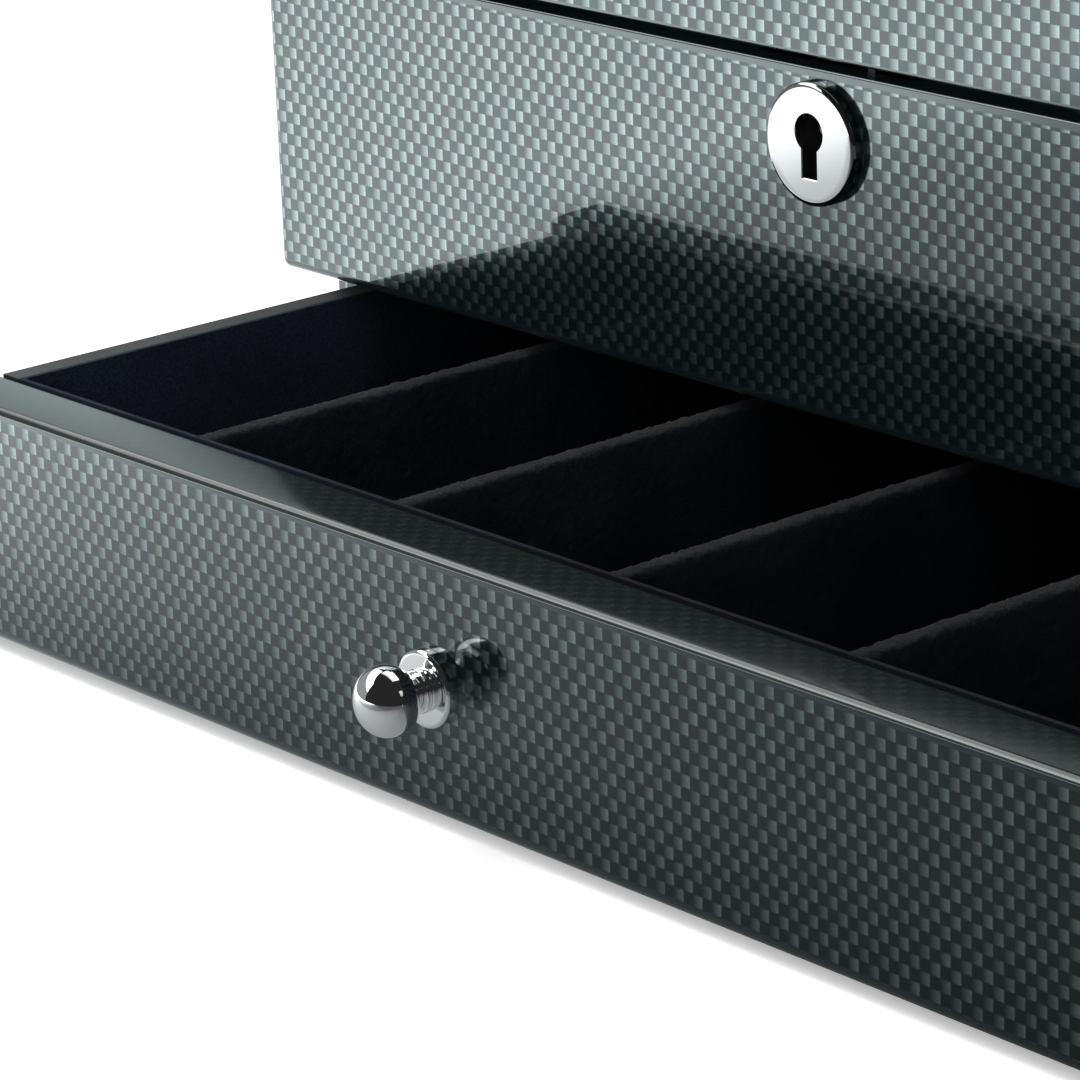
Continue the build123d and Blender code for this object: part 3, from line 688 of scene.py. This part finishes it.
ledgeLook = {
    "frontEdge": 1.3 * mm,
    "edge": 1.8 * mm,
    "backEdge": 0.9 * mm,
    "fall": 0.62 * mm,
    "crestBack": 3.1 * mm,
    "backGap": 0.05 * mm,
    "step": 2.2 * mm,
}


def makeDrawerFront():
    # A rounded block. Its top swells: from a crest near the front it sinks towards the back by
    # fall times the 1.75th power of the share of the way, as polished thick lacquer does.
    low, high = np.array(drawerLow), np.array(drawerHigh)
    high[1] -= ledgeLook["backGap"]
    edge, frontEdge = ledgeLook["edge"], ledgeLook["frontEdge"]
    softHigh = [edge, ledgeLook["backEdge"], frontEdge]
    points, faces = softBlock(low, high, [edge, frontEdge, edge], softHigh, ledgeLook["step"])
    crest = low[1] + ledgeLook["crestBack"]
    way = np.clip((points[:, 1] - crest) / (high[1] - crest), 0, 1)
    upper = np.clip((points[:, 2] - (low[2] + high[2]) / 2) / ((high[2] - low[2]) / 2), 0, 1)
    points[:, 2] -= ledgeLook["fall"] * way ** 1.75 * upper
    piece = addPiece("drawer_front_gloss", points, faces, drawerGloss, "drawer")
    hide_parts("drawer_front")


plateLook = {
    "eyeRadius": 3.05 * mm,
    "eyeUp": 1.9 * mm,
    "slotHalf": 1.65 * mm,
    "slotDown": 5.5 * mm,
    "rim": 0.8 * mm,
    "bevel": 0.16 * mm,
}


def keyholeReach(angle, look, grow=0.0):
    # How far the keyhole reaches from the plate's middle in each direction: the larger of the
    # reach of the round eye and the reach of the slot's rectangle.
    c, s = np.cos(angle), np.sin(angle)
    r, up = look["eyeRadius"] + grow, look["eyeUp"]
    eye = s * up + np.sqrt(r ** 2 - up ** 2 * c ** 2)
    sideways = (look["slotHalf"] + grow) / np.maximum(np.abs(c), 1e-9)
    upright = np.where(s < 0, look["slotDown"] + grow, up) / np.maximum(np.abs(s), 1e-9)
    return np.maximum(eye, np.minimum(sideways, upright))


def makeEscutcheon():
    # Rings of points round the keyhole: up its wall, over a small bevel, across the face, over
    # the rounded rim and down to the back, closed behind.
    low, high = np.array(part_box("escutcheon"))
    centre, radius = (low + high) / 2, (high[0] - low[0]) / 2
    look = plateLook
    corner = np.arctan2(-look["slotDown"], look["slotHalf"])
    neckDown = math.sqrt(look["eyeRadius"] ** 2 - look["slotHalf"] ** 2)
    neck = np.arctan2(look["eyeUp"] - neckDown, look["slotHalf"])
    marks = np.array([corner, neck, np.pi - corner, np.pi - neck])
    angle = np.r_[np.linspace(0, 2 * np.pi, 180, endpoint=False), marks]
    angle = np.unique(np.round(np.mod(angle, 2 * np.pi), 6))
    inner, bevelled = keyholeReach(angle, look), keyholeReach(angle, look, look["bevel"])
    outer, rim = np.full(len(angle), radius), look["rim"]
    rows = [(inner, high[1]), (inner, low[1] + look["bevel"]), (bevelled, low[1])]
    for share in np.linspace(0, 1, 7)[1:]:
        rows.append((bevelled + (outer - rim - bevelled) * share, low[1]))
    for turn in np.linspace(0, np.pi / 2, 9)[1:]:
        rows.append((outer - rim + rim * np.sin(turn), low[1] + rim * (1 - np.cos(turn))))
    rows.append((outer, high[1]))
    points = np.vstack([
        np.c_[centre[0] + reach * np.cos(angle), np.full(len(angle), y), centre[2] + reach * np.sin(angle)]
        for reach, y in rows
    ])
    index = np.arange(len(points)).reshape(len(rows), len(angle))
    nextRow, nextCol = np.roll(index, -1, 0), np.roll(index, -1, 1)
    faces = np.stack([index, nextCol, np.roll(nextRow, -1, 1), nextRow], -1).reshape(-1, 4)
    piece = addPiece("escutcheon_plate", points, faces, plateChromeShaded, "case")
    fixNormals(piece.data)
    piece.data.set_sharp_from_angle(angle=math.radians(40))
    # painted shade: the keyhole's own walls are nearly black
    wallFaces = np.arange(len(faces)) < len(angle)
    piece.data.materials.append(keyholeShade)
    piece.data.polygons.foreach_set("material_index", wallFaces.astype(int))
    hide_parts("escutcheon")


makeDrawerFront()
makeEscutcheon()


def darkenKeyway(piece):
    # The raw walls of the keyway through the front: faces near its middle that do not look along Y.
    mesh = piece.data
    middle, normal = np.empty(len(mesh.polygons) * 3), np.empty(len(mesh.polygons) * 3)
    mesh.polygons.foreach_get("center", middle)
    mesh.polygons.foreach_get("normal", normal)
    middle, normal = middle.reshape(-1, 3), normal.reshape(-1, 3)
    plateLow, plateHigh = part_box("escutcheon")
    near = (np.abs(middle[:, 0]) < 9 * mm) & (middle[:, 2] > plateLow[2]) & (middle[:, 2] < plateHigh[2])
    inside = near & ((np.abs(normal[:, 1]) < 0.5) | (middle[:, 1] > plateHigh[1] + 1 * mm))
    mesh.materials.append(stainedWood)
    mesh.polygons.foreach_set("material_index", inside.astype(int))


darkenKeyway(bpy.data.objects["case_front_panel_gloss"])
print("stage: gloss panels made")

# Knob

knobLook = {
    "footRadius": 3.5 * mm,
    "footHeight": 0.9 * mm,
    "waistRadius": 2.7 * mm,
    "waistAt": 1.9 * mm,
    "ballRadius": 5.65 * mm,
    "ballHalfDepth": 4.9 * mm,
    "ballAt": 6.7 * mm,
    "joinAngle": 37.0,
    "roseRadius": 6.2 * mm,
    "roseHeight": 2.0 * mm,
}
knobZ = (drawerLow[2] + drawerHigh[2]) / 2
knobBase = (0.0, drawerLow[1], knobZ)


def roseProfile(look):
    # A low round plate: straight side, rounded rim and a flat face.
    r, h, soft = look["roseRadius"], look["roseHeight"], 0.7 * mm
    turn = np.linspace(0, np.pi / 2, 10)
    rim = np.c_[h - soft + soft * np.sin(turn), r - soft + soft * np.cos(turn)]
    return np.vstack([[0, 0], [0, r], [0.1 * mm, r], rim, [h, look["footRadius"] * 0.5], [h, 0]])


def knobProfile(look):
    # A foot with a soft rim, a waist that swells by a cubic curve into the ball, and the ball, an
    # ellipse from joinAngle off its axis round to its tip.
    base, foot = look["roseHeight"], look["footRadius"]
    soft = 0.3 * mm
    turn = np.linspace(0, np.pi / 2, 8)
    rim = np.c_[base + look["footHeight"] - soft + soft * np.sin(turn), foot - soft + soft * np.cos(turn)]
    joinAngle = math.radians(look["joinAngle"])
    centre = base + look["ballAt"]
    depth = look["ballHalfDepth"]
    end = np.array([centre - depth * math.cos(joinAngle), look["ballRadius"] * math.sin(joinAngle)])
    t = np.linspace(0, 1, 28)[1:, None]
    start = np.array([rim[-1, 0], rim[-1, 1] - 0.05 * mm])
    bend1 = np.array([base + look["waistAt"] * 0.55, look["waistRadius"] * 0.98])
    bend2 = np.array([base + look["waistAt"] * 1.15, look["waistRadius"] * 0.70])
    curve = (1 - t) ** 3 * start + 3 * (1 - t) ** 2 * t * bend1 + 3 * (1 - t) * t ** 2 * bend2 + t ** 3 * end
    angle = np.linspace(joinAngle, np.pi, 60)[1:-1]
    ball = np.c_[centre - depth * np.cos(angle), look["ballRadius"] * np.sin(angle)]
    tip = [centre + depth, 0]
    return np.vstack([[base, 0], [base, foot], rim, curve, ball, tip])


rose = lathe("knob_rose_turned", roseProfile(knobLook), knobBase, chrome, "drawer")
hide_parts("knob_rose")
ball = lathe("knob_turned", knobProfile(knobLook), knobBase, chrome, "drawer")
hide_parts("knob")
print("stage: knob made")

# Drawer inside

drawerLook = {"boardRadius": 1.2 * mm, "fuzz": 0.10 * mm, "step": 0.62 * mm}
dividersLow, dividersHigh = spanOf("drawer_dividers")
boardWidth = 3.8 * mm
firstMiddle = dividersLow[0] + boardWidth / 2
pitch = (dividersHigh[0] - dividersLow[0] - boardWidth) / 3
for index in range(4):
    middle = firstMiddle + index * pitch
    piece = velvetBlock(
        f"drawer_divider_{index + 1}",
        (middle - boardWidth / 2, dividersLow[1], dividersLow[2]),
        (middle + boardWidth / 2, dividersHigh[1], dividersHigh[2]),
        drawerLook["boardRadius"], drawerLook["step"], drawerLook["fuzz"], velvetEdge, "drawer", 10 + index,
    )
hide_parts("drawer_dividers")

plainFinishes = {
    drawerVelvet: ("drawer_wall_lining", "drawer_floor_pad"),
    velvet: (
        "tray_floor_lining", "tray_wall_lining",
        "tray_long_divider", "tray_cross_dividers", "lid_lining",
    ),
    felt: ("base_felt",),
    stainedWood: (
        "base_board", "case_shelf", "drawer_left_side", "drawer_right_side", "drawer_back",
        "drawer_bottom", "lid_glass_bead", "drawer_stops",
    ),
    steel: (
        "lock_case", "lock_bolt", "lock_drill_pin", "hinge_case_leaves", "hinge_lid_leaves",
        "hinge_pins", "hinge_case_screws", "hinge_lid_screws", "lock_link_screws", "knob_screw",
    ),
    # painted shade: the parts seen in the lid gap are plated nearly black so the gap stays dark
    gapShadeNickel: ("lock_selvedge", "lock_link"),
    clearGlass: ("lid_glass",),
    glidePlastic: ("drawer_glides",),
    bumperRubber: ("lid_bumpers",),
}
for material, names in plainFinishes.items():
    for cadName in names:
        mesh = cadNodes[cadName].data
        mesh.materials.clear()
        mesh.materials.append(material)
print("stage: drawer and plain parts finished")

# Watch pillows

pillowLook = {
    "voxel": 4.5 * mm,
    "start": 0.90,
    "softShare": 0.62,
    "seedStep": 3.0 * mm,
    "narrower": 0.20,
    "lower": 0.24,
    "pressure": 4.0,
    "frames": 20,
    "cap": 4.0 * mm,
    "fill": 0.75,
}


def pillowSeedMesh(size):
    # A rounded block, drawn in towards its ends: across and upwards a point is brought nearer to
    # the middle line by narrower and lower times the fourth power of how far along it lies.
    half = np.asarray(size) / 2 * pillowLook["start"]
    points, faces = roundedBlock(-half, half, min(half) * pillowLook["softShare"], pillowLook["seedStep"])[:2]
    along = points[:, 1] / half[1]
    points[:, 0] *= 1 - pillowLook["narrower"] * np.abs(along) ** 4
    points[:, 2] *= 1 - pillowLook["lower"] * np.abs(along) ** 4
    return points, faces


def inflate(points, faces, look):
    # Blows the pillow up as cloth and returns the resting points and faces.
    mesh = bpy.data.meshes.new("pillow_sim")
    mesh.from_pydata(points.tolist(), [], faces.tolist())
    worker = bpy.data.objects.new("pillow_sim", mesh)
    scene = bpy.context.scene
    scene.collection.objects.link(worker)
    bpy.context.view_layer.objects.active = worker
    remesh = worker.modifiers.new("even", "REMESH")
    remesh.mode = "VOXEL"
    remesh.voxel_size = look["voxel"]
    with bpy.context.temp_override(object=worker, active_object=worker):
        bpy.ops.object.modifier_apply(modifier="even")
    count = len(worker.data.vertices)
    before = np.empty(count * 3)
    worker.data.vertices.foreach_get("co", before)
    cloth = worker.modifiers.new("cloth", "CLOTH")
    settings = cloth.settings
    settings.quality = 6
    settings.mass = 0.25
    settings.use_pressure = True
    settings.uniform_pressure_force = look["pressure"]
    settings.effector_weights.gravity = 0.0
    settings.tension_stiffness = 12
    settings.compression_stiffness = 12
    settings.bending_stiffness = 0.6
    cloth.point_cache.frame_end = look["frames"]
    for step in range(1, look["frames"] + 1):
        scene.frame_set(step)
    shown = worker.evaluated_get(bpy.context.evaluated_depsgraph_get())
    after = np.empty(count * 3)
    shown.data.vertices.foreach_get("co", after)
    scene.frame_set(1)
    worker.modifiers.clear()
    before, after = before.reshape(-1, 3), after.reshape(-1, 3)
    move = after - before
    far = np.linalg.norm(move, axis=1, keepdims=True)
    result = before + move * np.minimum(1.0, look["cap"] / np.maximum(far, 1e-9))
    quads = np.array([list(p.vertices) for p in worker.data.polygons])
    bpy.data.objects.remove(worker)
    return result, quads


def makePillows():
    names = [f"watch_pillow_{i}" for i in range(1, 11)]
    low, high = (np.array(c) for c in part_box(names[0]))
    size = high - low
    points, faces = inflate(*pillowSeedMesh(size), pillowLook)
    # fit to the place: scaled to the solid's own box; each pillow's upper half then sways a little
    points = (points - (points.min(0) + points.max(0)) / 2) / (np.ptp(points, axis=0)) * size
    for number, cadName in enumerate(names):
        low, high = (np.array(c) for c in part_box(cadName))
        middle = (low + high) / 2
        rng = np.random.default_rng(40 + number)
        own = points.copy()
        turn = -1 if number % 2 else 1
        own[:, 0] *= turn
        lean = 0.25 * mm * np.sin(own[:, 1] / size[1] * np.pi * 2 + rng.uniform(0, 6.28))
        own[:, 2] += lean * (own[:, 2] > 0)
        piece = addPiece(f"pillow_{number + 1}", own + middle, faces[:, ::turn], pillowCloth, "case")
        spots = piece.data.attributes.new("place_in_pillow", "FLOAT_VECTOR", "POINT")
        spots.data.foreach_set("vector", (own / size * 2).ravel())
        soft = piece.modifiers.new("soft", "SUBSURF")
        soft.levels = soft.render_levels = 2
        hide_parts(cadName)


makePillows()
print("stage: pillows made")

# Camera

cameraLook = {
    "place": (541.719 * mm, -618.487 * mm, 271.494 * mm),
    "turn": 50.129,
    "down": 18.09,
    "roll": 2.173,
    "lens": 162.268,
}


def makeCamera(look):
    # Looks level along +Y, turned left by turn, tipped down, then rolled about its own line of sight.
    a, b, c = (math.radians(look[key]) for key in ("turn", "down", "roll"))
    ahead = np.array([-math.sin(a) * math.cos(b), math.cos(a) * math.cos(b), -math.sin(b)])
    right = np.array([math.cos(a), math.sin(a), 0.0])
    below = np.cross(ahead, right)
    rolledRight = math.cos(c) * right + math.sin(c) * below
    rolledBelow = -math.sin(c) * right + math.cos(c) * below
    data = bpy.data.cameras.new("camera")
    data.lens = look["lens"]
    data.sensor_width = 36.0
    data.clip_start, data.clip_end = 0.01, 100.0
    camera = bpy.data.objects.new("camera", data)
    turned = np.eye(4)
    turned[:3, 0], turned[:3, 1], turned[:3, 2] = rolledRight, -rolledBelow, -ahead
    turned[:3, 3] = look["place"]
    camera.matrix_world = Matrix(turned.tolist())
    bpy.context.scene.collection.objects.link(camera)
    bpy.context.scene.camera = camera


makeCamera(cameraLook)

# Stage and light

def showOnlyTo(piece, **rays):
    for kind in ("camera", "diffuse", "glossy", "transmission", "volume_scatter", "shadow"):
        setattr(piece, "visible_" + kind, rays.get(kind, False))


def stageSheet(name, corners, material):
    mesh = bpy.data.meshes.new(name)
    mesh.from_pydata(corners, [], [(0, 1, 2, 3)])
    mesh.materials.append(material)
    sheet = bpy.data.objects.new(name, mesh)
    bpy.context.scene.collection.objects.link(sheet)
    return sheet


floorLook = {"size": 12.0, "glow": 0.34}


def floorCorners():
    s = floorLook["size"]
    return [(-s, -s, 0), (s, -s, 0), (s, s, 0), (-s, s, 0)]


def makeFloor(look):
    # White floor for the eye and for soft light; a little glow keeps it white up to the shadow.
    material, tree, output = startMaterial("floor_white")
    coords = place(tree).outputs["Object"]
    grain = noise(tree, coords, 3.0, 2.0)
    diffuse = tree.nodes.new("ShaderNodeBsdfDiffuse")
    feed(tree, diffuse.inputs[0], blendColours(tree, grain, (0.90, 0.90, 0.90, 1.0), (0.93, 0.93, 0.93, 1.0)))
    glow = tree.nodes.new("ShaderNodeEmission")
    rays = tree.nodes.new("ShaderNodeLightPath")
    seen = calc(tree, "MULTIPLY", rays.outputs["Is Camera Ray"], look["glow"])
    feed(tree, glow.inputs["Strength"], seen)
    both = tree.nodes.new("ShaderNodeAddShader")
    tree.links.new(diffuse.outputs[0], both.inputs[0])
    tree.links.new(glow.outputs[0], both.inputs[1])
    tree.links.new(both.outputs[0], output.inputs["Surface"])
    floor = stageSheet("floor", floorCorners(), material)
    showOnlyTo(floor, camera=True, diffuse=True, transmission=True, shadow=True)


def glowMaterial(name):
    material, tree, output = startMaterial(name)
    glow = tree.nodes.new("ShaderNodeEmission")
    tree.links.new(glow.outputs[0], output.inputs["Surface"])
    return material, tree, glow


mirrorLook = {
    "most": 2.9,
    "least": 0.10,
    "tone": 0.73,
    "toneAt": -0.078,
    "fall": 7.5,
    "dim": 0.47,
    "dimOut": (-0.272, -0.300),
    "dimAcross": (-0.300, -0.245),
    "drawerShade": 0.66,
    "drawerEdge": (-0.186, -0.232),
    "behind": 1.7,
    "behindEdge": (-0.12, -0.06),
}


def makeMirrorFloor(look):
    # What the gloss mirrors of the floor, painted on a glowing sheet. In front of the box the tone falls as
    # an exponential from a bright left to a dark right, between most and least; it is dimmer further out
    # right of a soft edge, and dimmer close to the drawer, both painted shadow. From the box's front
    # backwards it is even.
    material, tree, glow = glowMaterial("mirror_floor")
    x, y = split(tree, place(tree).outputs["Object"])[:2]
    way = calc(tree, "MULTIPLY", calc(tree, "SUBTRACT", x, look["toneAt"]), -look["fall"])
    tone = calc(tree, "MULTIPLY", calc(tree, "EXPONENT", way), look["tone"])
    tone = calc(tree, "SMOOTH_MIN", tone, look["most"], 0.3)
    far = calc(tree, "MULTIPLY", ramp(tree, y, *look["dimOut"]), ramp(tree, x, *look["dimAcross"]))
    dimmed = calc(tree, "SUBTRACT", 1.0, calc(tree, "MULTIPLY", far, look["dim"]))
    tone = product(tree, tone, dimmed, ramp(tree, y, *look["drawerEdge"], look["drawerShade"], 1.0))
    tone = calc(tree, "MAXIMUM", tone, look["least"])
    front = ramp(tree, y, *look["behindEdge"], 1.0, 0.0)
    feed(tree, glow.inputs["Strength"], blendNumbers(tree, front, look["behind"], tone))
    glow.inputs[0].default_value = (0.95, 1.0, 1.0, 1.0)
    sheet = stageSheet("mirror_floor", floorCorners(), material)
    showOnlyTo(sheet, glossy=True)


def makeSoftbox(name, corners, tone, axis, stops, colour=(1.0, 1.0, 1.0)):
    # A glowing sheet that only mirrors see; along one axis its tone follows the stops, given as
    # pairs of place and share, joined by soft steps.
    material, tree, glow = glowMaterial(name)
    value = split(tree, place(tree).outputs["Object"])[axis]
    glow.inputs[0].default_value = (*colour, 1.0)
    share = stops[0][1]
    for (a, low), (b, high) in zip(stops, stops[1:]):
        share = calc(tree, "ADD", share, ramp(tree, value, a, b, 0.0, high - low))
    feed(tree, glow.inputs["Strength"], calc(tree, "MULTIPLY", share, tone))
    showOnlyTo(stageSheet(name, corners, material), glossy=True)


def makeSoftboxes():
    # left: a tall window of light, dim near the floor
    makeSoftbox(
        "softbox_left", [(-0.9, -1.50, 0.0), (-0.9, 0.12, 0.0), (-0.9, 0.12, 1.5), (-0.9, -1.50, 1.5)],
        4.2, 2, ((0.0, 0.07), (0.54, 0.07), (0.64, 1.0), (1.2, 1.0), (1.5, 0.5)),
    )
    makeSoftbox(
        "softbox_over", [(-0.65, -0.15, 1.25), (0.35, -0.15, 1.25), (0.35, 0.75, 1.25), (-0.65, 0.75, 1.25)],
        1.5, 1, ((-0.15, 0.35), (0.10, 1.0), (0.75, 1.0)),
    )
    makeSoftbox(
        "card_right", [(0.9, -0.12, 0.45), (0.9, 0.16, 0.45), (0.9, 0.16, 0.80), (0.9, -0.12, 0.80)],
        0.75, 2, ((0.45, 0.7), (0.80, 1.0)),
    )
    makeSoftbox(
        "card_back_left", [(-1.2, 0.25, 0.02), (-0.3, 0.25, 0.02), (-0.3, 0.25, 0.95), (-1.2, 0.25, 0.95)],
        0.90, 0, ((-0.70, 1.0), (-0.55, 0.10), (-0.47, 0.02), (-0.3, 0.02)), (0.84, 1.0, 1.0),
    )
    makeSoftbox(
        "card_back", [(-0.5, 1.2, 0.1), (1.4, 1.2, 0.1), (1.4, 1.2, 1.4), (-0.5, 1.2, 1.4)],
        0.8, 2, ((0.1, 0.4), (0.9, 1.0), (1.4, 0.5)),
    )


skyLook = {"light": 1.15, "mirror": 0.02}


def makeSky(look):
    # White behind everything the eye sees, plain light for soft surfaces, near darkness in mirrors.
    world = bpy.data.worlds.new("sky")
    bpy.context.scene.world = world
    world.use_nodes = True
    tree = world.node_tree
    background = tree.nodes["Background"]
    background.inputs[0].default_value = (1.0, 1.0, 1.0, 1.0)
    rays = tree.nodes.new("ShaderNodeLightPath")
    soft = calc(tree, "MULTIPLY", rays.outputs["Is Diffuse Ray"], look["light"] - 1.0)
    mirror = calc(tree, "MULTIPLY", rays.outputs["Is Glossy Ray"], look["mirror"] - 1.0)
    feed(tree, background.inputs["Strength"], calc(tree, "ADD", 1.0, calc(tree, "ADD", soft, mirror)))


def makeLamp(name, spot, aim, size, power):
    # A soft lamp for the cloth and the floor; mirrors do not show it.
    data = bpy.data.lights.new(name, "AREA")
    data.shape = "RECTANGLE"
    data.size, data.size_y = size
    data.energy = power
    lamp = bpy.data.objects.new(name, data)
    lamp.location = spot
    lamp.rotation_euler = (Vector(spot) - Vector(aim)).to_track_quat("Z", "Y").to_euler()
    lamp.visible_camera = False
    lamp.visible_glossy = False
    bpy.context.scene.collection.objects.link(lamp)


makeFloor(floorLook)
makeMirrorFloor(mirrorLook)
makeSoftboxes()
makeSky(skyLook)
makeLamp("key", (-0.9, -0.2, 1.3), (0.0, 0.0, 0.05), (0.9, 0.9), 14.0)
bpy.context.scene.view_settings.view_transform = "Standard"
print("stage: light and camera set")
